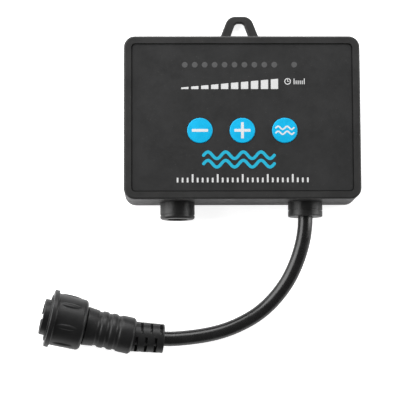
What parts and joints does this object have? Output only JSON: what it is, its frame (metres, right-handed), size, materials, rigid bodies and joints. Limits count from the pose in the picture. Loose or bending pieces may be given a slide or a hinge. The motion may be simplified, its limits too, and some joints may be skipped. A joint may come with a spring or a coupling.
{
  "type": "wave maker pump controller",
  "caption": "Flat black controller box with keys, lamps, a power socket, a hanging eye and a short output lead ending in a round screw-on connector.",
  "frame": {"origin": "middle of the case's flat back face", "axes": "+X to the right across the keypad, +Y towards the hanging eye, +Z out of the keypad"},
  "size_m": [0.1298, 0.1399, 0.025],
  "materials": {
    "case": "fine moulded texture",
    "overlay": "printed sheet, fine grain",
    "key": "satin, printed blue",
    "black_rubber": "moulded flexible plastic, semi-gloss",
    "cable_jacket": "smooth jacket",
    "connector": "satin hard plastic",
    "insulator": "moulded",
    "seal": "soft",
    "contact": "bright",
    "spring_metal": "nickel plated",
    "screw_steel": "zinc plated",
    "board": "solder mask",
    "chip": "moulded",
    "capacitor": "sleeved can",
    "ferrite": "ceramic ferrite",
    "header": "moulded",
    "lamp": "milky, diffusing",
    "switch": "moulded",
    "plunger": "moulded",
    "wire_red": "insulation",
    "wire_black": "insulation",
    "wire_brown": "insulation",
    "wire_blue": "insulation",
    "wire_yellow": "insulation"
  },
  "bodies": {
    "housing": {"board_screws": "screw_steel", "bulk_capacitor": "capacitor", "cable_gland": "black_rubber", "cable_tail": "cable_jacket", "case_screws": "screw_steel", "circuit_board": "board", "connector_boot": "black_rubber", "connector_core": "connector", "connector_grip": "connector", "contact_socket_1": "contact", "contact_socket_2": "contact", "contact_socket_3": "contact", "front_case": "case", "front_overlay": "overlay", "input_capacitor": "capacitor", "led_01": "lamp", "led_02": "lamp", "led_03": "lamp", "led_04": "lamp", "led_05": "lamp", "led_06": "lamp", "led_07": "lamp", "led_08": "lamp", "led_09": "lamp", "led_10": "lamp", "led_timer": "lamp", "microcontroller": "chip", "nose_seal": "seal", "output_cable": "cable_jacket", "phase_driver_1": "chip", "phase_driver_2": "chip", "phase_driver_3": "chip", "phase_wire_1": "wire_brown", "phase_wire_2": "wire_blue", "phase_wire_3": "wire_yellow", "power_inductor": "ferrite", "power_jack_body": "insulator", "power_jack_pin": "spring_metal", "power_jack_spring": "spring_metal", "power_lead_negative": "wire_black", "power_lead_positive": "wire_red", "power_socket_collar": "black_rubber", "rear_case": "case", "socket_insert": "insulator", "switch_body_minus": "switch", "switch_body_mode": "switch", "switch_body_plus": "switch", "voltage_regulator": "chip", "wire_header": "header"},
    "key_minus_body": {"key_minus": "key", "switch_plunger_minus": "plunger"},
    "key_plus_body": {"key_plus": "key", "switch_plunger_plus": "plunger"},
    "key_mode_body": {"key_mode": "key", "switch_plunger_mode": "plunger"},
    "coupling_nut_body": {"coupling_nut": "connector"}
  },
  "joints": [
    {"name": "key_minus_press", "type": "slide", "parent": "housing", "child": "key_minus_body", "axis": [0, 0, -1], "range_m": [0, 0.0004], "stiffness_N_per_m": 4000},
    {"name": "key_plus_press", "type": "slide", "parent": "housing", "child": "key_plus_body", "axis": [0, 0, -1], "range_m": [0, 0.0004], "stiffness_N_per_m": 4000},
    {"name": "key_mode_press", "type": "slide", "parent": "housing", "child": "key_mode_body", "axis": [0, 0, -1], "range_m": [0, 0.0004], "stiffness_N_per_m": 4000},
    {"name": "coupling_nut_turn", "type": "hinge", "parent": "housing", "child": "coupling_nut_body", "pos_m": [-0.06865, -0.08153, 0.01091], "axis": [-0.969, 0.2148, 0.1219], "continuous": true}
  ]
}
